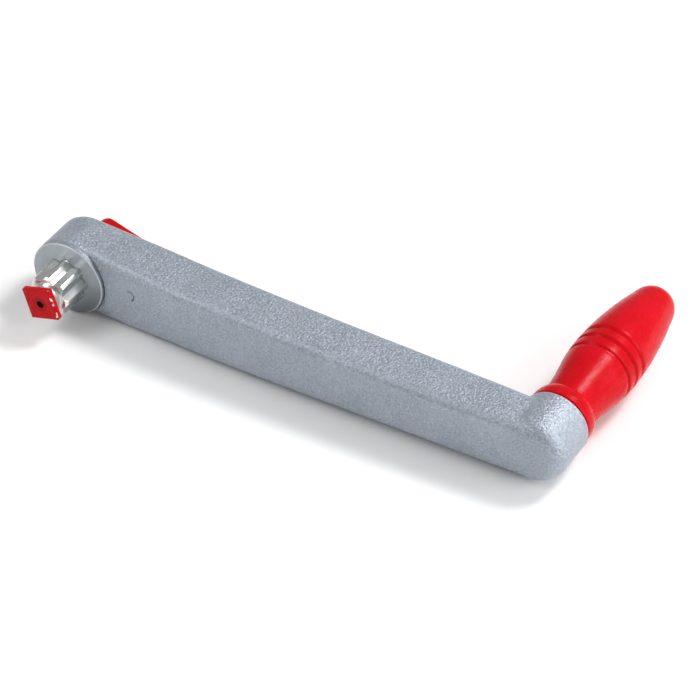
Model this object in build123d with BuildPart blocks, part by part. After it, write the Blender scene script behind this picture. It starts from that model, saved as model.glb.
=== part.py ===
"""Lock-in winch handle, 254 mm between centres, lying on its side.

Frame: origin on the drive stud's axis where it meets the seating face, +X along
the arm to the grip, -Y the way the stud points, +Y the way the grip points and
+Z up, across the arm's width. Lengths are in millimetres.
"""

from build123d import *
from math import cos, radians
import os

os.makedirs("parts", exist_ok=True)

# ---- driving dimensions ----
centres = 254.0  # stud axis to grip axis, a 10 inch handle

star_flats = 17.46  # 11/16 inch across the flats of each of the star's two squares
star_tip_radius = 11.42
star_length = 16.85
star_lead_in = 1.2
star_root_relief = 0.9
neck_radius = 8.2
neck_length = 3.2
stud_flange_flats = 26.0
stud_flange_thickness = 4.0
shank_radius = 8.0

seat_radius = 20.1
seat_chamfer = 0.5
seat_thickness = 3.0
spigot_radius = 16.4
spigot_length = 1.5

head_radius = 20.2
head_back = 27.8  # grip-side face of the head
head_edge_radius = 4.5
web_front = seat_thickness + stud_flange_thickness
web_back = 13.5
pocket_radius = 15.0
corner_radius = 5.0

# arm sections: x, stud-side face, grip-side face, half width
arm_sections = [
    (2.0, 3.0, 27.8, 20.05),
    (12.0, 2.5, 28.2, 19.4),
    (20.0, 1.7, 28.4, 18.8),
    (32.0, 0.8, 28.3, 18.3),
    (45.0, 0.1, 28.1, 17.8),
    (75.0, -1.1, 27.1, 17.1),
    (110.0, -1.8, 26.5, 16.4),
    (150.0, -1.8, 26.3, 15.7),
    (190.0, -1.4, 26.1, 15.2),
    (225.0, -0.7, 25.3, 15.2),
    (centres, 0.0, 24.5, 15.2),
]

boss_radius = 17.0
boss_top = 28.15
boss_nose_radius = 7.5
boss_chamfer = 0.8
axle_radius = 6.0
axle_foot = 6.0

mark_radius = 2.6
mark_reach = 35.5
mark_rise = 3.0
mark_floor = 0.95

shaft_radius = 4.0
running_gap = 0.05
shaft_square = 6.0
lock_travel = 28.0  # degrees from locked to free
plate_side = 16.5
plate_corner_radius = 11.55
plate_chamfer = 0.2
plate_thickness = 3.0
plate_gap = 0.1
plate_top = -(star_length + neck_length) - plate_gap
plate_bottom = plate_top - plate_thickness
plate_screw_head = 4.1
socket_radius = 2.0
socket_depth = 1.4

hub_radius = 9.3
hub_foot = 21.0
hub_top = 41.3
bush_foot = 19.5
stop_key_angle = 24.0
tab_reach = 32.0
tab_tip_radius = 8.0
tab_underside = 29.1
tab_edge_radius = 1.2
tab_slope = 0.22
tab_slope_start = -2.2
counterbore_radius = 5.2
washer_seat = 37.2
lever_washer_radius = 4.9
lever_washer_thickness = 0.8
lever_screw_head = 4.2
lever_screw_foot = 28.0
shaft_top = 36.0

grip_foot = 29.15
grip_tip = 133.0
collar_radius = 16.3
collar_rounding = 32.5  # height where the collar starts to round over
collar_top = 38.15
neck_of_grip = 13.4
groove_heights = (67.6, 74.65, 81.5)
groove_floor = 16.4
groove_half_width = 1.1
lower_bush_radius = 9.0
lower_bush_top = 45.0
upper_bush_radius = 8.5
upper_bush_foot = 97.0
bore_top = 119.0
axle_top = 116.0
clip_height = 112.0
washer_thickness = 1.0
clip_washer_radius = 7.8
clip_radius = 7.6
thrust_washer_radius = 14.0


def level(y, x=0.0):
    """A plane across the stud axis at height y. It faces the stud's tip and +Z is its local y."""
    return Plane(origin=(x, y, 0), x_dir=(1, 0, 0), z_dir=(0, -1, 0))


def side_plane(x=0.0):
    """The arm's plane of symmetry, with its origin moved along the arm to x."""
    return Plane(origin=(x, 0, 0), x_dir=(1, 0, 0), z_dir=(0, 0, 1))


stud_axis = Axis((0, 0, 0), (0, 1, 0))
grip_axis = Axis((centres, 0, 0), (0, 1, 0))


def ring(inner, outer, bottom, top, x=0.0):
    """A plain ring about the stud or grip axis, from height bottom to height top."""
    with BuildPart() as piece:
        with BuildSketch(level(top, x)):
            Circle(outer)
            Circle(inner, mode=Mode.SUBTRACT)
        extrude(amount=top - bottom)
    return piece.part


def star_sketch(growth=0.0):
    """Two squares at 45 degrees with cropped points: the eight-point drive section."""
    with BuildSketch() as star:
        Rectangle(star_flats + 2 * growth, star_flats + 2 * growth)
        Rectangle(star_flats + 2 * growth, star_flats + 2 * growth, rotation=45)
        Circle(star_tip_radius + growth, mode=Mode.INTERSECT)
    return star.sketch


def octagon_radius(flats):
    """Corner radius of an octagon from its size across flats."""
    return flats / 2 / cos(radians(22.5))


# ---- arm: head, bar and grip boss in one casting ----
with BuildPart() as arm:
    for x, front, back, half in arm_sections:
        with BuildSketch(Plane.YZ.offset(x)):
            with Locations(((front + back) / 2, 0)):
                RectangleRounded(back - front, 2 * half, corner_radius)
    loft()
    with BuildSketch(side_plane()):
        with BuildLine():
            Line((0, seat_thickness), (head_radius, seat_thickness))
            Line((head_radius, seat_thickness), (head_radius, head_back - head_edge_radius))
            RadiusArc(
                (head_radius, head_back - head_edge_radius),
                (head_radius - head_edge_radius, head_back),
                -head_edge_radius,
            )
            Line((head_radius - head_edge_radius, head_back), (0, head_back))
            Line((0, head_back), (0, seat_thickness))
        make_face()
    revolve(axis=stud_axis)
    with BuildSketch(side_plane(centres)):
        with BuildLine():
            Line((0, 0), (boss_radius - boss_nose_radius, 0))
            RadiusArc(
                (boss_radius - boss_nose_radius, 0),
                (boss_radius, boss_nose_radius),
                -boss_nose_radius,
            )
            Line((boss_radius, boss_nose_radius), (boss_radius, boss_top - boss_chamfer))
            Line((boss_radius, boss_top - boss_chamfer), (boss_radius - boss_chamfer, boss_top))
            Line((boss_radius - boss_chamfer, boss_top), (0, boss_top))
            Line((0, boss_top), (0, 0))
        make_face()
    revolve(axis=grip_axis)
    # the round step that the seat plate stands on
    with BuildSketch(level(seat_thickness)):
        Circle(seat_radius + 0.2)
    extrude(amount=10, mode=Mode.SUBTRACT)
    # ring groove for the seat plate's spigot, then the keyed pocket for the stud's flange
    with BuildSketch(level(seat_thickness + spigot_length)):
        Circle(spigot_radius)
    extrude(amount=spigot_length, mode=Mode.SUBTRACT)
    with BuildSketch(level(web_front)):
        RegularPolygon(octagon_radius(stud_flange_flats), 8, rotation=22.5)
    extrude(amount=stud_flange_thickness, mode=Mode.SUBTRACT)
    # shank hole through the web
    with BuildSketch(level(web_back)):
        Circle(shank_radius)
    extrude(amount=web_back - web_front, mode=Mode.SUBTRACT)
    # lever pocket, open at the back of the head
    with BuildSketch(level(head_back + 10)):
        Circle(pocket_radius)
    extrude(amount=head_back + 10 - web_back, mode=Mode.SUBTRACT)
    # blind hole for the grip's axle
    with BuildSketch(level(boss_top, centres)):
        Circle(axle_radius)
    extrude(amount=boss_top - axle_foot, mode=Mode.SUBTRACT)
    # round ejector mark, square to the stud, so that it is deeper on its side away from the head
    with BuildSketch(level(mark_floor, mark_reach)):
        with Locations((0, mark_rise)):
            Circle(mark_radius)
    extrude(amount=5, mode=Mode.SUBTRACT)
arm.part.label = "arm"

# ---- seat plate: the smooth round face that bears on the winch ----
with BuildPart() as seat_plate:
    with BuildSketch(level(seat_thickness)):
        Circle(seat_radius)
    extrude(amount=seat_thickness)
    chamfer(seat_plate.edges().filter_by(GeomType.CIRCLE).sort_by(Axis.Y)[0], seat_chamfer)
    with BuildSketch(level(seat_thickness + spigot_length)):
        Circle(spigot_radius)
        RegularPolygon(octagon_radius(stud_flange_flats), 8, rotation=22.5, mode=Mode.SUBTRACT)
    extrude(amount=spigot_length)
    with BuildSketch(level(seat_thickness)):
        add(star_sketch(plate_gap))
    extrude(amount=seat_thickness, mode=Mode.SUBTRACT)
seat_plate.part.label = "seat_plate"

# ---- drive stud: star, keyed flange, threaded shank, bored for the lock shaft ----
groove_height = 10.0
oring_thickness = 1.4
with BuildPart() as drive_stud:
    with BuildSketch(level(seat_thickness)):
        add(star_sketch())
    extrude(amount=star_length + seat_thickness)
    # points chamfered at the tip of the star, and relieved at its root
    with BuildSketch(side_plane()):
        with BuildLine():
            Polyline(
                (star_tip_radius - star_root_relief, 0),
                (star_tip_radius, -star_root_relief),
                (star_tip_radius + 1, -star_root_relief),
                (star_tip_radius + 1, 0),
                close=True,
            )
        make_face()
        with BuildLine():
            Polyline(
                (star_tip_radius - star_lead_in, -star_length),
                (star_tip_radius + 1, -star_length + star_lead_in + 1),
                (star_tip_radius + 1, -star_length - 1),
                (star_tip_radius - star_lead_in, -star_length - 1),
                close=True,
            )
        make_face()
    revolve(axis=stud_axis, mode=Mode.SUBTRACT)
    with BuildSketch(level(-star_length)):
        Circle(neck_radius)
    extrude(amount=neck_length)
    with BuildSketch(level(web_front)):
        RegularPolygon(octagon_radius(stud_flange_flats), 8, rotation=22.5)
    extrude(amount=stud_flange_thickness)
    with BuildSketch(level(web_back + 5.2)):
        Circle(shank_radius)
    extrude(amount=web_back + 5.2 - web_front)
    with BuildSketch(level(web_back + 6)):
        Circle(shaft_radius + running_gap)
    extrude(amount=web_back + 6 + star_length + neck_length + 1, mode=Mode.SUBTRACT)
    # groove for the shaft's seal
    with BuildSketch(level(groove_height + 1.0)):
        Circle(shaft_radius + 1.5)
        Circle(shaft_radius, mode=Mode.SUBTRACT)
    extrude(amount=2.0, mode=Mode.SUBTRACT)
drive_stud.part.label = "drive_stud"

# ---- stud nut: clamps the stud to the web of the head ----
nut_thickness = 5.0
with BuildPart() as stud_nut:
    with BuildSketch(level(web_back + nut_thickness)):
        RegularPolygon(12.7, 6)
        Circle(shank_radius, mode=Mode.SUBTRACT)
    extrude(amount=nut_thickness)
stud_nut.part.label = "stud_nut"

# ---- shaft seal ----
with BuildPart() as shaft_oring:
    with BuildSketch(side_plane()):
        with Locations((shaft_radius + running_gap + oring_thickness / 2, groove_height)):
            Circle(oring_thickness / 2)
    revolve(axis=stud_axis)
shaft_oring.part.label = "shaft_oring"

# ---- lock shaft: squared at both ends, tapped for a screw at each ----
square_foot = plate_top - 1.2
screw_hole = 2.0
with BuildPart() as lock_shaft:
    with BuildSketch(level(hub_foot + 4)):
        Circle(shaft_radius)
    extrude(amount=hub_foot + 4 - plate_top)
    with BuildSketch(level(plate_top)):
        Rectangle(shaft_square - 0.4, shaft_square - 0.4, rotation=45 + lock_travel)
    extrude(amount=plate_top - square_foot)
    with BuildSketch(level(shaft_top)):
        Rectangle(shaft_square - 0.6, shaft_square - 0.6)
    extrude(amount=shaft_top - hub_foot - 4)
    with BuildSketch(level(shaft_top)):
        Circle(screw_hole)
    extrude(amount=9.0, mode=Mode.SUBTRACT)
    with BuildSketch(level(square_foot + 9.0)):
        Circle(screw_hole)
    extrude(amount=9.0, mode=Mode.SUBTRACT)
lock_shaft.part.label = "lock_shaft"

# ---- lock plate: square, turned off the star's points when it is locked ----
# one corner of the plate reaches +Z, in line with a point of the star, when the lever is turned
plate_angle = 45.0 - lock_travel
with BuildPart() as lock_plate:
    with BuildSketch(level(plate_top)):
        Rectangle(plate_side, plate_side, rotation=plate_angle)
        Circle(plate_corner_radius, mode=Mode.INTERSECT)
    extrude(amount=plate_thickness)
    chamfer(lock_plate.faces().sort_by(Axis.Y)[0].edges(), plate_chamfer)
    with BuildSketch(level(plate_top)):
        Rectangle(shaft_square - 0.4, shaft_square - 0.4, rotation=45 + lock_travel)
    extrude(amount=1.2, mode=Mode.SUBTRACT)
    with BuildSketch(side_plane()):
        with BuildLine():
            Polyline(
                (0, plate_top),
                (screw_hole, plate_top),
                (screw_hole, plate_top - 1.3),
                (plate_screw_head, plate_bottom),
                (0, plate_bottom),
                close=True,
            )
        make_face()
    revolve(axis=stud_axis, mode=Mode.SUBTRACT)
lock_plate.part.label = "lock_plate"

# ---- plate screw: countersunk, with a hexagon socket ----
with BuildPart() as plate_screw:
    with BuildSketch(side_plane()):
        with BuildLine():
            Polyline(
                (0, plate_bottom + 0.1),
                (plate_screw_head - 0.15, plate_bottom + 0.1),
                (screw_hole - 0.05, plate_top - 1.3),
                (screw_hole - 0.05, square_foot),
                (screw_hole, square_foot),
                (screw_hole, square_foot + 8.0),
                (0, square_foot + 8.0),
                close=True,
            )
        make_face()
    revolve(axis=stud_axis)
    with BuildSketch(level(plate_bottom + socket_depth)):
        RegularPolygon(socket_radius, 6)
    extrude(amount=4, mode=Mode.SUBTRACT)
    with BuildSketch(side_plane()):
        with BuildLine():
            Polyline((0, plate_bottom + 0.7), (2.4, plate_bottom), (0, plate_bottom), close=True)
        make_face()
    revolve(axis=stud_axis, mode=Mode.SUBTRACT)
plate_screw.part.label = "plate_screw"

# ---- hub bush: bearing for the lever's hub, with the key that stops its turn ----
key_depth = 1.8
with BuildPart() as hub_bush:
    with BuildSketch(level(head_back)):
        Circle(pocket_radius)
        Circle(hub_radius + running_gap, mode=Mode.SUBTRACT)
    extrude(amount=head_back - bush_foot)
    with BuildSketch(level(hub_foot + 3.0)):
        with BuildLine():
            key_half = stop_key_angle / 2
            outer = CenterArc((0, 0), hub_radius + 0.5, 180 - key_half, stop_key_angle)
            inner = CenterArc((0, 0), hub_radius - key_depth, 180 - key_half, stop_key_angle)
            Line(outer @ 0, inner @ 0)
            Line(outer @ 1, inner @ 1)
        make_face()
    extrude(amount=hub_foot + 3.0 - bush_foot)
    chamfer(
        hub_bush.edges().filter_by(GeomType.CIRCLE).sort_by(Axis.Y)[-2:],
        0.3,
    )
hub_bush.part.label = "hub_bush"

# ---- lock lever: round hub with a thumb tab that slopes down along the arm ----
with BuildPart() as lock_lever:
    with BuildSketch(level(hub_top)):
        Circle(hub_radius)
        with Locations((tab_reach, 0)):
            Circle(tab_tip_radius)
        make_hull()
    extrude(amount=hub_top - tab_underside)
    with BuildSketch(side_plane()):
        with BuildLine():
            slope_run = 60.0
            Polyline(
                (tab_slope_start, hub_top),
                (tab_slope_start + slope_run, hub_top),
                (tab_slope_start + slope_run, hub_top - tab_slope * slope_run),
                close=True,
            )
        make_face()
    extrude(amount=20, both=True, mode=Mode.SUBTRACT)
    top_faces = lock_lever.faces().filter_by(
        lambda face: face.center().Y > tab_underside + 1 and face.normal_at().Y > 0.5
    )
    fillet(top_faces.edges(), tab_edge_radius)
    with BuildSketch(level(tab_underside)):
        Circle(hub_radius)
    extrude(amount=tab_underside - hub_foot)
    # notch that the bush's key runs in, as long as the lever's turn
    with BuildSketch(level(hub_foot + 3.2)):
        with BuildLine():
            notch_start = 180 - stop_key_angle / 2 - lock_travel
            notch_size = stop_key_angle + lock_travel
            outer = CenterArc((0, 0), hub_radius + 1, notch_start - 0.5, notch_size + 1)
            inner = CenterArc(
                (0, 0), hub_radius - key_depth - 0.1, notch_start - 0.5, notch_size + 1
            )
            Line(outer @ 0, inner @ 0)
            Line(outer @ 1, inner @ 1)
        make_face()
    extrude(amount=3.2, mode=Mode.SUBTRACT)
    # bore and square socket for the shaft, and the screw's counterbore
    with BuildSketch(level(hub_foot + 4)):
        Circle(shaft_radius)
    extrude(amount=4, mode=Mode.SUBTRACT)
    with BuildSketch(level(shaft_top)):
        Rectangle(shaft_square - 0.6, shaft_square - 0.6)
    extrude(amount=shaft_top - hub_foot, mode=Mode.SUBTRACT)
    with BuildSketch(level(hub_top + 1)):
        Circle(counterbore_radius)
    extrude(amount=hub_top + 1 - washer_seat, mode=Mode.SUBTRACT)
    with BuildSketch(level(washer_seat + 1)):
        Circle(screw_hole + 0.2)
    extrude(amount=3, mode=Mode.SUBTRACT)
lock_lever.part.label = "lock_lever"

# ---- lever washer and screw ----
washer_top = washer_seat + lever_washer_thickness
lever_washer = ring(screw_hole + 0.2, lever_washer_radius, washer_seat, washer_top)
lever_washer.label = "lever_washer"

with BuildPart() as lever_screw:
    with BuildSketch(side_plane()):
        with BuildLine():
            Line((0, lever_screw_foot), (screw_hole, lever_screw_foot))
            Line((screw_hole, lever_screw_foot), (screw_hole, washer_top))
            Line((screw_hole, washer_top), (lever_screw_head, washer_top))
            Line((lever_screw_head, washer_top), (lever_screw_head, washer_top + 0.8))
            ThreePointArc(
                (lever_screw_head, washer_top + 0.8),
                (2.4, washer_top + 2.2),
                (0, washer_top + 2.7),
            )
            Line((0, washer_top + 2.7), (0, lever_screw_foot))
        make_face()
    revolve(axis=stud_axis)
    with BuildSketch(level(washer_top + 3)):
        RegularPolygon(1.75, 6)
    extrude(amount=2.2, mode=Mode.SUBTRACT)
lever_screw.part.label = "lever_screw"

# ---- return spring: turns the lever back to locked ----
spring_radius = 5.6
spring_wire = 0.35
with BuildPart() as return_spring:
    with BuildLine() as coil:
        Helix(0.78, 1.4, spring_radius, center=(0, web_back + 5.7, 0), direction=(0, 1, 0))
    with BuildSketch(Plane(origin=coil.line @ 0, z_dir=coil.line % 0)):
        Circle(spring_wire)
    sweep(is_frenet=True)
return_spring.part.label = "return_spring"

# ---- grip axle: pressed into the boss, grooved for the clip ----
clip_thickness = 1.2
clip_groove_radius = 5.0
with BuildPart() as grip_axle:
    with BuildSketch(level(axle_top, centres)):
        Circle(axle_radius)
    extrude(amount=axle_top - axle_foot)
    chamfer(grip_axle.edges().sort_by(Axis.Y)[-1], 0.8)
    with BuildSketch(level(clip_height + clip_thickness, centres)):
        Circle(axle_radius + 1)
        Circle(clip_groove_radius, mode=Mode.SUBTRACT)
    extrude(amount=clip_thickness, mode=Mode.SUBTRACT)
grip_axle.part.label = "grip_axle"

thrust_washer = ring(axle_radius, thrust_washer_radius, boss_top, grip_foot - 0.1, centres)
thrust_washer.label = "thrust_washer"

clip_washer = ring(
    axle_radius + running_gap, clip_washer_radius, clip_height - washer_thickness, clip_height, centres
)
clip_washer.label = "clip_washer"

# ---- axle clip: an open spring ring in the axle's groove ----
with BuildPart() as axle_clip:
    with BuildSketch(level(clip_height + clip_thickness, centres)):
        Circle(clip_radius)
        Circle(clip_groove_radius, mode=Mode.SUBTRACT)
        with Locations((6.5, 0)):
            Rectangle(5.0, 2.4, mode=Mode.SUBTRACT)
    extrude(amount=clip_thickness)
axle_clip.part.label = "axle_clip"

# ---- bushes pressed into the grip, running on the axle ----
bush_bore = axle_radius + running_gap
lower_bush = ring(bush_bore, lower_bush_radius, grip_foot, lower_bush_top, centres)
lower_bush.label = "lower_bush"
upper_bush_top = clip_height - washer_thickness - 0.1
upper_bush = ring(bush_bore, upper_bush_radius, upper_bush_foot, upper_bush_top, centres)
upper_bush.label = "upper_bush"

# ---- grip: one moulding with a collar, three grooves and a domed end ----
with BuildPart() as grip:
    with BuildSketch(side_plane(centres)):
        with BuildLine():
            Line((0, grip_foot), (collar_radius - 0.3, grip_foot))
            Line((collar_radius - 0.3, grip_foot), (collar_radius, grip_foot + 0.5))
            Line((collar_radius, grip_foot + 0.5), (collar_radius, collar_rounding))
            Spline(
                (collar_radius, collar_rounding),
                (15.33, 36.5),
                (neck_of_grip + 0.2, collar_top),
                tangents=[(0.0, 1.0), (-1.0, 0.25)],
            )
            Line((neck_of_grip + 0.2, collar_top), (neck_of_grip, collar_top))
            body = Spline(
                (neck_of_grip, collar_top),
                (13.85, 43.5),
                (15.5, 56.0),
                (17.4, 74.0),
                (16.55, 94.0),
                (13.95, 112.0),
                (11.45, 124.0),
                tangents=[(0.0, 1.0), (-0.24, 1.0)],
            )
            Spline(
                body @ 1,
                (8.9, 129.8),
                (0, grip_tip),
                tangents=[(-0.24, 1.0), (-1.0, 0.0)],
            )
            Line((0, grip_tip), (0, grip_foot))
        make_face()
    revolve(axis=grip_axis)
    # bore: wide for the lower bush, narrower over the axle, wide again for the upper bush
    with BuildSketch(side_plane(centres)):
        with BuildLine():
            Polyline(
                (0, grip_foot),
                (lower_bush_radius, grip_foot),
                (lower_bush_radius, lower_bush_top),
                (upper_bush_radius, lower_bush_top),
                (upper_bush_radius, bore_top),
                (0, bore_top),
                close=True,
            )
        make_face()
    revolve(axis=grip_axis, mode=Mode.SUBTRACT)
    # three V grooves round the widest stretch
    with BuildSketch(side_plane(centres)):
        for height in groove_heights:
            with BuildLine():
                Polyline(
                    (groove_floor, height),
                    (groove_floor + 2 * groove_half_width, height + 2 * groove_half_width),
                    (groove_floor + 2 * groove_half_width, height - 2 * groove_half_width),
                    close=True,
                )
            make_face()
    revolve(axis=grip_axis, mode=Mode.SUBTRACT)
grip.part.label = "grip"

parts = {
    "arm": arm.part,
    "seat_plate": seat_plate.part,
    "drive_stud": drive_stud.part,
    "stud_nut": stud_nut.part,
    "shaft_oring": shaft_oring.part,
    "lock_shaft": lock_shaft.part,
    "lock_plate": lock_plate.part,
    "plate_screw": plate_screw.part,
    "hub_bush": hub_bush.part,
    "lock_lever": lock_lever.part,
    "lever_washer": lever_washer,
    "lever_screw": lever_screw.part,
    "return_spring": return_spring.part,
    "grip_axle": grip_axle.part,
    "thrust_washer": thrust_washer,
    "clip_washer": clip_washer,
    "axle_clip": axle_clip.part,
    "lower_bush": lower_bush,
    "upper_bush": upper_bush,
    "grip": grip.part,
}
for name, part in parts.items():
    export_step(part, f"parts/{name}.step")
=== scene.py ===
"""Looks for a lock-in winch handle: hammered silver paint, bright stud, red plastic.

Every distance is in metres in the row frame: the origin is on the stud's axis in
the seating face, +X runs along the arm, -Y is the way the stud points, +Z is up.
Names and arguments that end in _mm are in millimetres.
"""

import math

import bmesh
import bpy
from mathutils import Matrix, Vector, noise


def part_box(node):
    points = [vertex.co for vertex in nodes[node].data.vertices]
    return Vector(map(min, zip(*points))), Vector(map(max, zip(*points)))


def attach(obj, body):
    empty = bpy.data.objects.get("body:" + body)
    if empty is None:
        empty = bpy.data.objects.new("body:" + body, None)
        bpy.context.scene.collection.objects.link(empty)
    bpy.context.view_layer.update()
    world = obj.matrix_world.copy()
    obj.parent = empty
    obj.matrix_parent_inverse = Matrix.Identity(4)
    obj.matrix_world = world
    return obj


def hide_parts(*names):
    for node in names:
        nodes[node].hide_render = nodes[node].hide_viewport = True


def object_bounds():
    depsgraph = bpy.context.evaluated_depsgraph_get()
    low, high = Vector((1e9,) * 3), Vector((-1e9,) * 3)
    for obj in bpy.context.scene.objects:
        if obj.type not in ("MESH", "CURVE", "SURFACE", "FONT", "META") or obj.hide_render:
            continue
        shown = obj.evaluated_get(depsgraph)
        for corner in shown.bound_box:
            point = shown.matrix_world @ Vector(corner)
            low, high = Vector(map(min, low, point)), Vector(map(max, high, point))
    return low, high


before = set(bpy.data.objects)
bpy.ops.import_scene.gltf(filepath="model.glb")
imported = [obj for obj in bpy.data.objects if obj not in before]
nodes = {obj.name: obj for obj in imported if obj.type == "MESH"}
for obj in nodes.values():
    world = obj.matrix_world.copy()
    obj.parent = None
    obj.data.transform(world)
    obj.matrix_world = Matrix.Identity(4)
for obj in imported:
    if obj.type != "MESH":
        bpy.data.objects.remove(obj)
cad_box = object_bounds()

MM = 0.001
grip_low, grip_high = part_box("grip")
grip_axis_x = (grip_low[0] + grip_high[0]) / 2
boss_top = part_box("arm")[1][1]
plate_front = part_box("lock_plate")[0][1]
seat_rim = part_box("seat_plate")[1][0] - 0.6 * MM

# the curved line left by an ejector pin, on the arm's face towards the stud's side
mark_x = 35.5 * MM
mark_z = 3.0 * MM
mark_radius = 2.6 * MM
mark_face_y = 6.0 * MM


# ---- camera: the handle lies on its side, seen from the stud's side and above ----
camera_place = (0.79607, -1.03915, 1.04855)
camera_right = (0.85622, 0.51654, -0.00852)
camera_up = (-0.32682, 0.55436, 0.76542)
camera_lens = 178.39
camera_sensor = 36.0
camera_far_end = 20.0


def place_camera():
    right = Vector(camera_right)
    up = Vector(camera_up)
    back = right.cross(up)
    camera_data = bpy.data.cameras.new("camera")
    camera_data.sensor_width = camera_sensor
    camera_data.lens = camera_lens
    camera_data.clip_end = camera_far_end
    camera = bpy.data.objects.new("camera", camera_data)
    bpy.context.scene.collection.objects.link(camera)
    turn = Matrix((right, up, back)).transposed().to_4x4()
    camera.matrix_world = Matrix.Translation(camera_place) @ turn
    bpy.context.scene.camera = camera


place_camera()
bpy.context.scene.view_settings.view_transform = "Standard"


# ---- small helpers for node materials ----
class Shader:
    """A material with a Principled shader and short names for the nodes that it is made of."""

    def __init__(self, name, **values):
        self.material = bpy.data.materials.new(name)
        self.material.use_nodes = True
        self.tree = self.material.node_tree
        self.tree.nodes.clear()
        output = self.tree.nodes.new("ShaderNodeOutputMaterial")
        self.principled = self.tree.nodes.new("ShaderNodeBsdfPrincipled")
        self.link(self.principled.outputs[0], output.inputs["Surface"])
        for socket, value in values.items():
            if isinstance(value, tuple):
                value = (*value, 1.0)
            self.principled.inputs[socket.replace("_", " ")].default_value = value
        self.coordinates = self.tree.nodes.new("ShaderNodeTexCoord").outputs["Object"]

    def link(self, source, target):
        self.tree.links.new(source, target)

    def mapped(self, scale=(1, 1, 1), rotation=(0, 0, 0)):
        node = self.tree.nodes.new("ShaderNodeMapping")
        node.inputs["Scale"].default_value = scale
        node.inputs["Rotation"].default_value = rotation
        self.link(self.coordinates, node.inputs["Vector"])
        return node.outputs["Vector"]

    def axes(self, vector=None):
        """The x, y and z of a point."""
        node = self.tree.nodes.new("ShaderNodeSeparateXYZ")
        self.link(vector or self.coordinates, node.inputs[0])
        return node.outputs[:3]

    def noise(self, size_mm, detail, vector=None, roughness=0.5):
        node = self.tree.nodes.new("ShaderNodeTexNoise")
        node.inputs["Scale"].default_value = 1.0 / (size_mm * MM)
        node.inputs["Detail"].default_value = detail
        node.inputs["Roughness"].default_value = roughness
        self.link(vector or self.coordinates, node.inputs["Vector"])
        return node.outputs["Fac"]

    def cells(self, size_mm):
        node = self.tree.nodes.new("ShaderNodeTexVoronoi")
        node.feature = "SMOOTH_F1"
        node.inputs["Scale"].default_value = 1.0 / (size_mm * MM)
        self.link(self.coordinates, node.inputs["Vector"])
        return node.outputs["Distance"]

    def ramp(self, value, *stops):
        """Maps a value through stops of (position, grey) or (position, (r, g, b))."""
        node = self.tree.nodes.new("ShaderNodeValToRGB")
        elements = node.color_ramp.elements
        while len(elements) < len(stops):
            elements.new(0.5)
        for element, (position, colour) in zip(elements, stops):
            element.position = position
            rgb = colour if isinstance(colour, tuple) else (colour, colour, colour)
            element.color = (*rgb, 1.0)
        self.link(value, node.inputs["Fac"])
        return node.outputs["Color"]

    def math(self, operation, a, b=None):
        node = self.tree.nodes.new("ShaderNodeMath")
        node.operation = operation
        for socket, value in zip(node.inputs, (a, b)):
            if value is None:
                continue
            if isinstance(value, (int, float)):
                socket.default_value = value
            else:
                self.link(value, socket)
        return node.outputs["Value"]

    def both(self, a, b):
        """A product: of two masks, the part that lies in both."""
        return self.math("MULTIPLY", a, b)

    def from_axis(self, x, z, axis_x=0.0, axis_z=0.0):
        """Distance from a line along Y."""
        along_x = self.math("POWER", self.math("SUBTRACT", x, axis_x), 2.0)
        along_z = self.math("POWER", self.math("SUBTRACT", z, axis_z), 2.0)
        return self.math("POWER", self.math("ADD", along_x, along_z), 0.5)

    def mix(self, factor, a, b):
        node = self.tree.nodes.new("ShaderNodeMix")
        node.data_type = "RGBA"
        self.link(factor, node.inputs["Factor"])
        for name, value in (("A", a), ("B", b)):
            socket = [s for s in node.inputs if s.name == name and s.type == "RGBA"][0]
            if isinstance(value, tuple):
                socket.default_value = (*value, 1.0)
            else:
                self.link(value, socket)
        return [s for s in node.outputs if s.type == "RGBA"][0]

    def bump(self, height, depth_mm, strength, before=None):
        node = self.tree.nodes.new("ShaderNodeBump")
        node.inputs["Strength"].default_value = strength
        node.inputs["Distance"].default_value = depth_mm * MM
        self.link(height, node.inputs["Height"])
        if before is not None:
            self.link(before, node.inputs["Normal"])
        return node.outputs["Normal"]

    def set(self, socket, value):
        self.link(value, self.principled.inputs[socket])


# ---- materials ----
casting_grain_mm = 1.15


def mark_shade(s, x, y, z):
    """Painted shade in the ejector pin's line, on the side of it away from the head."""
    line_half_width = 0.40 * MM
    far_side_x, far_side_z = 0.9, 0.42
    far_side_start = 0.2 * MM
    away = s.from_axis(x, z, mark_x, mark_z)
    off_line = s.math("ABSOLUTE", s.math("SUBTRACT", away, mark_radius))
    far_side = s.math(
        "ADD",
        s.math("MULTIPLY", s.math("SUBTRACT", x, mark_x), far_side_x),
        s.math("MULTIPLY", s.math("SUBTRACT", z, mark_z), far_side_z))
    on_line = s.both(
        s.math("LESS_THAN", off_line, line_half_width),
        s.math("GREATER_THAN", far_side, far_side_start))
    return s.both(on_line, s.math("LESS_THAN", y, mark_face_y))


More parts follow.
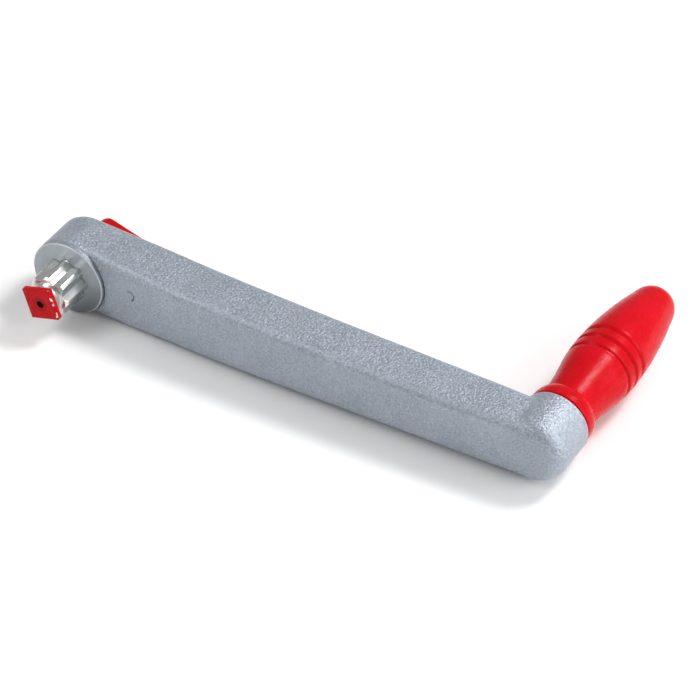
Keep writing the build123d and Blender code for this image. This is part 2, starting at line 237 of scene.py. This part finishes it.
def hammered_paint():
    """Silver paint over a pebbled casting, with the boss's machined rim left bright."""
    dark, light = (0.285, 0.325, 0.372), (0.395, 0.440, 0.505)
    flake_sparkle, mark_shade_colour, machined = (0.66, 0.71, 0.78), (0.10, 0.12, 0.14), (0.95, 0.95, 0.96)
    rim_height, rim_reach = 0.9 * MM, 18.5 * MM
    s = Shader("hammered_silver", Specular_IOR_Level=0.5)
    pebbles = s.cells(size_mm=1.1)
    grain = s.noise(casting_grain_mm, detail=2.5, roughness=0.6)
    mottle = s.noise(size_mm=18.0, detail=4.0)
    blend = s.math("ADD", s.math("MULTIPLY", grain, 0.8), s.math("MULTIPLY", mottle, 0.2))
    paint = s.mix(s.ramp(blend, (0.40, 0.0), (0.60, 1.0)), dark, light)
    # lighter flecks: the paint's metal flake, and painted sparkle
    flake_sparkle_mask = s.ramp(s.noise(size_mm=0.85, detail=1.5), (0.58, 0.0), (0.70, 0.45))
    paint = s.mix(flake_sparkle_mask, paint, flake_sparkle)
    x, y, z = s.axes()
    rim = s.both(
        s.math("GREATER_THAN", y, boss_top - rim_height),
        s.math("LESS_THAN", s.from_axis(x, z, grip_axis_x), rim_reach))
    # painted shade: the ejector pin's line is darker on the side away from the head
    paint = s.mix(mark_shade(s, x, y, z), paint, mark_shade_colour)
    s.set("Base Color", s.mix(rim, paint, machined))
    s.set("Metallic", s.ramp(rim, (0.0, 0.5), (1.0, 0.3)))
    s.set("Roughness", s.ramp(grain, (0.40, 0.38), (0.60, 0.56)))
    first = s.bump(pebbles, depth_mm=0.30, strength=1.0)
    s.set("Normal", s.bump(grain, depth_mm=0.42, strength=1.0, before=first))
    return s.material


def smooth_paint():
    """Smooth grey face with painted shade towards its lower side, and a rim lighter from wear
    and a painted highlight; the disc's side wall carries the casting's grain.
    """
    dark, light = (0.33, 0.37, 0.40), (0.41, 0.45, 0.48)
    tone, rim_wear_and_highlight = (0.10, 0.12, 0.13), (0.53, 0.56, 0.59)
    cast_dark, cast_light = (0.20, 0.235, 0.27), (0.30, 0.34, 0.39)
    shade_reach = 28 * MM
    wall_start, edge_end = 0.55 * MM, 0.5 * MM
    s = Shader("smooth_grey", Metallic=0.30)
    x, y, z = s.axes()
    wall = s.math("GREATER_THAN", y, wall_start)
    drift = s.noise(size_mm=9.0, detail=4.0)
    face = s.mix(s.ramp(drift, (0.35, 0.0), (0.65, 1.0)), dark, light)
    # painted shade: the face darkens towards high x and low z, where the stud's shadow falls
    low_side = s.math("MULTIPLY", s.math("SUBTRACT", x, z), 1.0 / shade_reach)
    face = s.mix(s.ramp(low_side, (0.15, 0.0), (0.85, 0.75)), face, tone)
    # the rim is lighter all round: worn paint, and a painted highlight along the edge
    worn = s.both(
        s.math("GREATER_THAN", s.from_axis(x, z), seat_rim),
        s.math("LESS_THAN", y, edge_end))
    cast = s.ramp(
        s.noise(casting_grain_mm, detail=2.5, roughness=0.6),
        (0.40, cast_dark), (0.60, cast_light))
    face = s.mix(wall, face, cast)
    s.set("Base Color", s.mix(worn, face, rim_wear_and_highlight))
    s.set("Roughness", s.ramp(drift, (0.35, 0.36), (0.65, 0.5)))
    fine = s.bump(s.noise(size_mm=0.9, detail=3.0), depth_mm=0.03, strength=0.6)
    wall_grain = s.both(s.noise(size_mm=0.75, detail=2.5, roughness=0.65), wall)
    s.set("Normal", s.bump(wall_grain, depth_mm=0.3, strength=0.9, before=fine))
    return s.material


def bright_alloy():
    """Machined bar: bright, with fine drawn lines along the stud."""
    clean, stained = (0.74, 0.74, 0.72), (0.66, 0.67, 0.65)
    s = Shader("bright_alloy", Metallic=1.0)
    lines = s.noise(size_mm=0.5, detail=3.0, vector=s.mapped(scale=(1.0, 0.05, 1.0)))
    stains = s.noise(size_mm=3.5, detail=4.0)
    s.set("Base Color", s.mix(s.ramp(stains, (0.45, 0.0), (0.70, 1.0)), clean, stained))
    s.set("Roughness", s.ramp(stains, (0.35, 0.27), (0.65, 0.30)))
    s.set("Normal", s.bump(lines, depth_mm=0.006, strength=0.3))
    return s.material


def plain_steel():
    s = Shader("plain_steel", Base_Color=(0.60, 0.60, 0.61), Metallic=1.0)
    lines = s.noise(size_mm=0.4, detail=3.0)
    s.set("Roughness", s.ramp(lines, (0.3, 0.22), (0.7, 0.42)))
    s.set("Normal", s.bump(lines, depth_mm=0.015, strength=0.4))
    return s.material


def red_plastic():
    """Moulded red plastic: satin gloss, faint orange peel, scuffs that run along the grip."""
    dark, light = (0.47, 0.003, 0.005), (0.55, 0.004, 0.012)
    s = Shader("red_plastic", Specular_IOR_Level=0.08)
    drift = s.noise(size_mm=18.0, detail=3.0)
    s.set("Base Color", s.mix(s.ramp(drift, (0.35, 0.0), (0.65, 1.0)), dark, light))
    scuffs = s.noise(
        size_mm=1.3, detail=5.0, vector=s.mapped(scale=(1.0, 0.22, 1.0)), roughness=0.65)
    s.set("Roughness", s.ramp(scuffs, (0.44, 0.22), (0.58, 0.30), (0.68, 0.50)))
    peel = s.bump(s.noise(size_mm=2.6, detail=2.0), depth_mm=0.03, strength=0.3)
    s.set("Normal", s.bump(scuffs, depth_mm=0.03, strength=0.3, before=peel))
    return s.material


def chipped_red():
    """Gloss red paint on steel, chipped to bare metal in places along one worn edge."""
    dark, light, bare_metal = (0.42, 0.004, 0.007), (0.56, 0.005, 0.010), (0.85, 0.84, 0.82)
    plate_angle_deg = 17.0
    edge_from, front_depth = 7.5 * MM, 0.8 * MM
    chip_threshold = 0.53
    s = Shader("chipped_red", Specular_IOR_Level=0.08)
    turned = s.mapped(rotation=(0, math.radians(plate_angle_deg), 0))
    x, y, z = s.axes(turned)
    near_edge = s.math("GREATER_THAN", x, edge_from)
    near_front = s.math("LESS_THAN", y, plate_front + front_depth)
    chips = s.math("GREATER_THAN", s.noise(size_mm=2.3, detail=2.0), chip_threshold)
    bare = s.both(s.both(near_edge, near_front), chips)
    tone = s.noise(size_mm=3.0, detail=4.0)
    paint = s.mix(s.ramp(tone, (0.3, 0.0), (0.7, 1.0)), dark, light)
    s.set("Base Color", s.mix(bare, paint, bare_metal))
    s.set("Metallic", bare)
    s.set("Roughness", s.ramp(s.noise(size_mm=1.0, detail=3.0), (0.3, 0.26), (0.7, 0.44)))
    brush = s.math("MULTIPLY", s.noise(size_mm=1.4, detail=2.0), 0.4)
    relief = s.math("SUBTRACT", brush, bare)
    s.set("Normal", s.bump(relief, depth_mm=0.04, strength=0.5))
    return s.material


def red_paint():
    """Red paint on the plate's screw, dark inside its socket."""
    dark, light, shadow = (0.30, 0.004, 0.006), (0.46, 0.005, 0.009), (0.030, 0.006, 0.005)
    socket_reach, socket_start = 2.05 * MM, 0.08 * MM
    s = Shader("red_paint", Specular_IOR_Level=0.08)
    tone = s.noise(size_mm=1.2, detail=3.0)
    paint = s.mix(s.ramp(tone, (0.35, 0.0), (0.7, 1.0)), dark, light)
    x, y, z = s.axes()
    socket = s.both(
        s.math("LESS_THAN", s.from_axis(x, z), socket_reach),
        s.math("GREATER_THAN", y, plate_front + socket_start))
    s.set("Base Color", s.mix(socket, paint, shadow))
    s.set("Roughness", s.ramp(tone, (0.3, 0.3), (0.7, 0.5)))
    s.set("Normal", s.bump(tone, depth_mm=0.03, strength=0.5))
    return s.material


def matt_plastic(name, color):
    s = Shader(name, Base_Color=color)
    s.set("Roughness", s.ramp(s.noise(size_mm=1.2, detail=3.0), (0.3, 0.5), (0.7, 0.7)))
    s.set("Normal", s.bump(s.noise(size_mm=0.6, detail=2.0), depth_mm=0.02, strength=0.4))
    return s.material


red = red_plastic()
steel = plain_steel()
black_nylon = matt_plastic("black_nylon", (0.025, 0.025, 0.027))
white_nylon = matt_plastic("white_nylon", (0.78, 0.77, 0.72))
finishes = {
    "arm": hammered_paint(),
    "seat_plate": smooth_paint(),
    "drive_stud": bright_alloy(),
    "stud_nut": steel,
    "shaft_oring": matt_plastic("seal_rubber", (0.015, 0.015, 0.015)),
    "lock_shaft": steel,
    "lock_plate": chipped_red(),
    "plate_screw": red_paint(),
    "hub_bush": black_nylon,
    "lock_lever": red,
    "lever_washer": steel,
    "lever_screw": steel,
    "return_spring": steel,
    "grip_axle": steel,
    "thrust_washer": black_nylon,
    "clip_washer": steel,
    "axle_clip": steel,
    "lower_bush": white_nylon,
    "upper_bush": white_nylon,
    "grip": red,
}
for name, material in finishes.items():
    mesh = nodes[name].data
    mesh.materials.clear()
    mesh.materials.append(material)
    mesh.polygons.foreach_set("use_smooth", [False] * len(mesh.polygons))


# ---- mesh work ----
def apply_modifiers(obj):
    graph = bpy.context.evaluated_depsgraph_get()
    done = bpy.data.meshes.new_from_object(obj.evaluated_get(graph))
    old = obj.data
    obj.modifiers.clear()
    obj.data = done
    bpy.data.meshes.remove(old)


def stand_in(name, node, body):
    """A new piece that starts as a copy of a CAD node's mesh and takes its place."""
    same_place = 1e-6
    mesh = nodes[node].data.copy()
    mesh.name = name
    obj = bpy.data.objects.new(name, mesh)
    bpy.context.scene.collection.objects.link(obj)
    graph = bmesh.new()
    graph.from_mesh(mesh)
    bmesh.ops.remove_doubles(graph, verts=graph.verts, dist=same_place)
    graph.to_mesh(mesh)
    graph.free()
    if "custom_normal" in mesh.attributes:
        mesh.attributes.remove(mesh.attributes["custom_normal"])
    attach(obj, body)
    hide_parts(node)
    return obj


def shade(obj, sharp_deg=None):
    """Smooth shading, but for edges sharper than an angle."""
    mesh = obj.data
    mesh.polygons.foreach_set("use_smooth", [True] * len(mesh.polygons))
    if sharp_deg:
        mesh.set_sharp_from_angle(angle=math.radians(sharp_deg))
    mesh.update()


def remesh(obj, voxel_mm, smoothing):
    """Even quads all over, then a light smoothing that softens the edges."""
    step = obj.modifiers.new("remesh", "REMESH")
    step.mode = "VOXEL"
    step.voxel_size = voxel_mm * MM
    step.adaptivity = 0.0
    soft = obj.modifiers.new("soften", "SMOOTH")
    soft.factor = 0.5
    soft.iterations = smoothing
    apply_modifiers(obj)


def crisp(obj, edge_mm):
    """Keeps flat faces flat, with a narrow worn bevel along each sharp edge."""
    flat_deg, bevel_from_deg, sharp_deg = 0.5, 28, 13
    graph = bmesh.new()
    graph.from_mesh(obj.data)
    bmesh.ops.dissolve_limit(
        graph, angle_limit=math.radians(flat_deg), verts=graph.verts, edges=graph.edges)
    graph.to_mesh(obj.data)
    graph.free()
    bevel = obj.modifiers.new("edges", "BEVEL")
    bevel.width = edge_mm * MM
    bevel.segments = 2
    bevel.limit_method = "ANGLE"
    bevel.angle_limit = math.radians(bevel_from_deg)
    bevel.use_clamp_overlap = False
    apply_modifiers(obj)
    shade(obj, sharp_deg)


def move_points(obj, shift):
    """Moves each point along its normal by what shift(place, normal) says, in metres."""
    mesh = obj.data
    normals = [v.normal.copy() for v in mesh.vertices]
    for vertex, normal in zip(mesh.vertices, normals):
        vertex.co += normal * shift(vertex.co, normal)
    mesh.update()


def fade(value, low, high):
    """0 at low, 1 at high, smooth between."""
    t = min(max((value - low) / (high - low), 0.0), 1.0)
    return t * t * (3 - 2 * t)


# ---- the casting: relief outside, left plain in its bores and under the seat plate ----
def mark_line(place):
    """How far a point is inside the line that an ejector pin left, from 0 to 1."""
    reach = 5.0 * MM
    line_core, line_end = 0.1 * MM, 0.6 * MM
    arc_middle_deg, arc_core_deg, arc_end_deg = 25, 65, 90
    dx, dz = place.x - mark_x, place.z - mark_z
    if place.y > mark_face_y or abs(dx) > reach or abs(dz) > reach:
        return 0.0
    off_line = abs(math.hypot(dx, dz) - mark_radius)
    off_middle = abs(math.degrees(math.atan2(dz, dx)) - arc_middle_deg)
    across = 1 - fade(off_line, line_core, line_end)
    return across * (1 - fade(off_middle, arc_core_deg, arc_end_deg))


def blend_boss(arm):
    """Runs the arm's flat sides into the round boss with a soft fillet, as cast."""
    group = arm.vertex_groups.new(name="blend")
    for vertex in arm.data.vertices:
        place = vertex.co
        along = fade(place.x, grip_axis_x - 20 * MM, grip_axis_x - 13 * MM)
        along *= 1 - fade(place.x, grip_axis_x - 2 * MM, grip_axis_x + 3 * MM)
        side = fade(abs(place.z), 9 * MM, 12 * MM)
        height = fade(place.y, -1 * MM, 4 * MM) * (1 - fade(place.y, 21 * MM, 24.5 * MM))
        weight = along * side * height
        if weight > 0.01:
            group.add([vertex.index], weight, "REPLACE")
    soft = arm.modifiers.new("blend", "SMOOTH")
    soft.factor = 0.6
    soft.iterations = 70
    soft.vertex_group = "blend"
    apply_modifiers(arm)


def cast_arm():
    seat_reach, seat_fade, seat_height = 20.5 * MM, 4 * MM, 6 * MM
    hub_bore_reach, hub_bore_end = 17.5 * MM, 27.2 * MM
    boss_bore_reach, boss_bore_depth = 17.5 * MM, 3 * MM
    wave_size, wave_mm = 13 * MM, 0.04
    pebble_size, pebble_mm = 1.8 * MM, 0.045
    sunk_mm, mark_depth_mm = 0.03, 0.45
    arm = stand_in("arm_casting", "arm", "frame")
    remesh(arm, 0.4, 2)
    blend_boss(arm)

    def shift(place, normal):
        from_stud = math.hypot(place.x, place.z)
        from_grip = math.hypot(place.x - grip_axis_x, place.z)
        if from_stud < hub_bore_reach and place.y < hub_bore_end:
            return 0.0
        if from_grip < boss_bore_reach and place.y > boss_top - boss_bore_depth:
            return 0.0
        calm = 1.0
        if place.y < seat_height:
            calm = fade(from_stud, seat_reach, seat_reach + seat_fade)
        wave = noise.noise(place / wave_size) * wave_mm
        pebble = noise.noise(place / pebble_size) * pebble_mm
        return (wave + pebble - sunk_mm - mark_depth_mm * mark_line(place)) * MM * calm

    move_points(arm, shift)
    shade(arm)


# ---- the grip: turned from profiles of (radius, height) in mm round its axis ----
collar_profile_mm = [
    (16.3, 31.0), (16.28, 32.5), (16.0, 34.6), (15.33, 36.5), (14.6, 37.5), (13.9, 38.0),
    (13.5, 38.12),
]
body_profile_mm = [
    (13.4, 38.15), (13.5, 40.5), (13.85, 43.5), (14.5, 49.5), (15.5, 56.0), (16.5, 62.0),
    (17.2, 68.0), (17.4, 74.0), (17.35, 80.0), (17.05, 87.0), (16.55, 94.0), (15.4, 103.0),
    (13.95, 112.0), (12.7, 118.0), (11.45, 124.0), (10.4, 127.3), (8.9, 129.8), (7.0, 131.5),
    (4.8, 132.5), (2.4, 132.9), (0.0, 133.0),
]
bore_profile_mm = [(0.0, 119.0), (8.5, 119.0), (8.5, 45.0), (9.0, 45.0)]
groove_heights_mm = (67.6, 74.65, 81.5)
groove_depth_mm = 1.05
groove_floor_mm = 0.05
groove_reach_mm = 1.5
grip_sides = 144


def smooth_line(points, per_span):
    """A Catmull-Rom line through the points."""
    out = []
    padded = [points[0]] + points + [points[-1]]
    for a, b, c, d in zip(padded, padded[1:], padded[2:], padded[3:]):
        for k in range(per_span):
            t = k / per_span
            out.append(tuple(
                0.5 * (2 * q + (r - p) * t + (2 * p - 5 * q + 4 * r - s) * t * t
                       + (3 * q - p - 3 * r + s) * t ** 3)
                for p, q, r, s in zip(a, b, c, d)))
    out.append(points[-1])
    return out


def grip_outline():
    """The grip's outside from its foot to its tip, with a rounded foot and three grooves."""
    foot = grip_low[1] / MM
    foot_edge = (16.3, foot + 0.5)
    outline = [(9.0, foot), (15.8, foot), (16.1, foot + 0.12), foot_edge]
    outline += smooth_line([foot_edge] + collar_profile_mm, 4)[1:]
    for radius, height in smooth_line(body_profile_mm, 8):
        depth = max(
            groove_depth_mm * (1 - fade(abs(height - centre), groove_floor_mm, groove_reach_mm))
            for centre in groove_heights_mm)
        outline.append((radius - depth, height))
    return outline


def turned_grip():
    on_axis_mm = 0.001
    graph = bmesh.new()

    def ring(radius, height):
        if radius < on_axis_mm:
            return [graph.verts.new((grip_axis_x, height * MM, 0.0))]
        return [
            graph.verts.new((
                grip_axis_x + radius * MM * math.cos(2 * math.pi * k / grip_sides),
                height * MM,
                radius * MM * math.sin(2 * math.pi * k / grip_sides)))
            for k in range(grip_sides)]

    def skin(rings):
        for a, b in zip(rings, rings[1:]):
            for k in range(grip_sides):
                m = (k + 1) % grip_sides
                corners = [a[k % len(a)], a[m % len(a)], b[m % len(b)], b[k % len(b)]]
                unique = list(dict.fromkeys(corners))
                if len(unique) > 2:
                    graph.faces.new(unique)

    outside = [ring(*point) for point in grip_outline()]
    skin(outside)
    skin([ring(*point) for point in bore_profile_mm] + [outside[0]])
    bmesh.ops.recalc_face_normals(graph, faces=graph.faces)
    mesh = bpy.data.meshes.new("grip_moulding")
    graph.to_mesh(mesh)
    graph.free()
    grip = bpy.data.objects.new("grip_moulding", mesh)
    bpy.context.scene.collection.objects.link(grip)
    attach(grip, "grip")
    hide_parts("grip")
    mesh.materials.append(red)
    shade(grip, 32)


def thumb_lever():
    """The lever with shallow grooves across its tab for the thumb."""
    grooves_from, grooves_to = 13 * MM, 36.5 * MM
    facing_out = 0.8
    side_core, side_end = 4.8 * MM, 5.8 * MM
    first_groove, groove_pitch, groove_depth = 14 * MM, 3.2 * MM, 0.55 * MM
    lever = stand_in("thumb_lever", "lock_lever", "lock")
    remesh(lever, 0.3, 4)

    def shift(place, normal):
        if normal.y < facing_out or place.x < grooves_from or place.x > grooves_to:
            return 0.0
        across = 1 - fade(abs(place.z), side_core, side_end)
        phase = ((place.x - first_groove) / groove_pitch) % 1.0
        groove = fade(1 - abs(phase - 0.5) * 2, 0.45, 0.95)
        return -groove_depth * groove * across

    move_points(lever, shift)
    shade(lever)


cast_arm()
turned_grip()
thumb_lever()
for name, node, body, slot, voxel_mm in (
    ("seat_disc", "seat_plate", "frame", "seat_paint", 0.25),
    ("hub_bearing", "hub_bush", "frame", "black_nylon", 0.3),
):
    piece = stand_in(name, node, body)
    remesh(piece, voxel_mm, 2)
    shade(piece)
for name, node, body, slot, edge_mm in (
    ("star_stud", "drive_stud", "frame", "bright_alloy", 0.12),
    ("square_plate", "lock_plate", "lock", "red_paint", 0.15),
    ("plate_fixing", "plate_screw", "lock", "red_paint", 0.06),
    ("lever_fixing", "lever_screw", "lock", "steel", 0.10),
):
    crisp(stand_in(name, node, body), edge_mm)


# ---- stage ----
def make_floor():
    reach = 6.0
    low = cad_box[0][2]
    mesh = bpy.data.meshes.new("floor")
    mesh.from_pydata(
        [(-reach, -reach, low), (reach, -reach, low), (reach, reach, low), (-reach, reach, low)],
        [], [(0, 1, 2, 3)])
    floor = bpy.data.objects.new("floor", mesh)
    bpy.context.scene.collection.objects.link(floor)
    s = Shader("pale_floor", Roughness=0.9)
    s.set("Base Color", s.ramp(s.noise(size_mm=60.0, detail=2.0), (0.3, 0.925), (0.7, 0.94)))
    mesh.materials.append(s.material)


def area_light(name, aim, direction, distance, size, energy):
    data = bpy.data.lights.new(name, "AREA")
    data.shape = "RECTANGLE"
    data.size, data.size_y = size
    data.energy = energy
    light = bpy.data.objects.new(name, data)
    bpy.context.scene.collection.objects.link(light)
    light.location = Vector(aim) + Vector(direction).normalized() * distance
    light.rotation_euler = (-Vector(direction)).to_track_quat("-Z", "Y").to_euler()


def light_stage():
    middle, stud = (0.12, 0.03, 0.0), (0.0, 0.0, 0.0)
    world = bpy.data.worlds.new("studio")
    world.use_nodes = True
    background = world.node_tree.nodes["Background"]
    background.inputs["Color"].default_value = (1.0, 1.0, 1.0, 1.0)
    background.inputs["Strength"].default_value = 0.38
    bpy.context.scene.world = world
    area_light("key", middle, (0.38, 0.48, 0.79), distance=1.7, size=(0.5, 0.5), energy=19.0)
    area_light("ridge", stud, (-0.50, -0.50, 0.75), distance=0.8, size=(0.4, 0.3), energy=2.3)
    area_light("end", middle, (0.90, 0.10, 0.42), distance=1.5, size=(0.9, 0.9), energy=12.0)


make_floor()
light_stage()
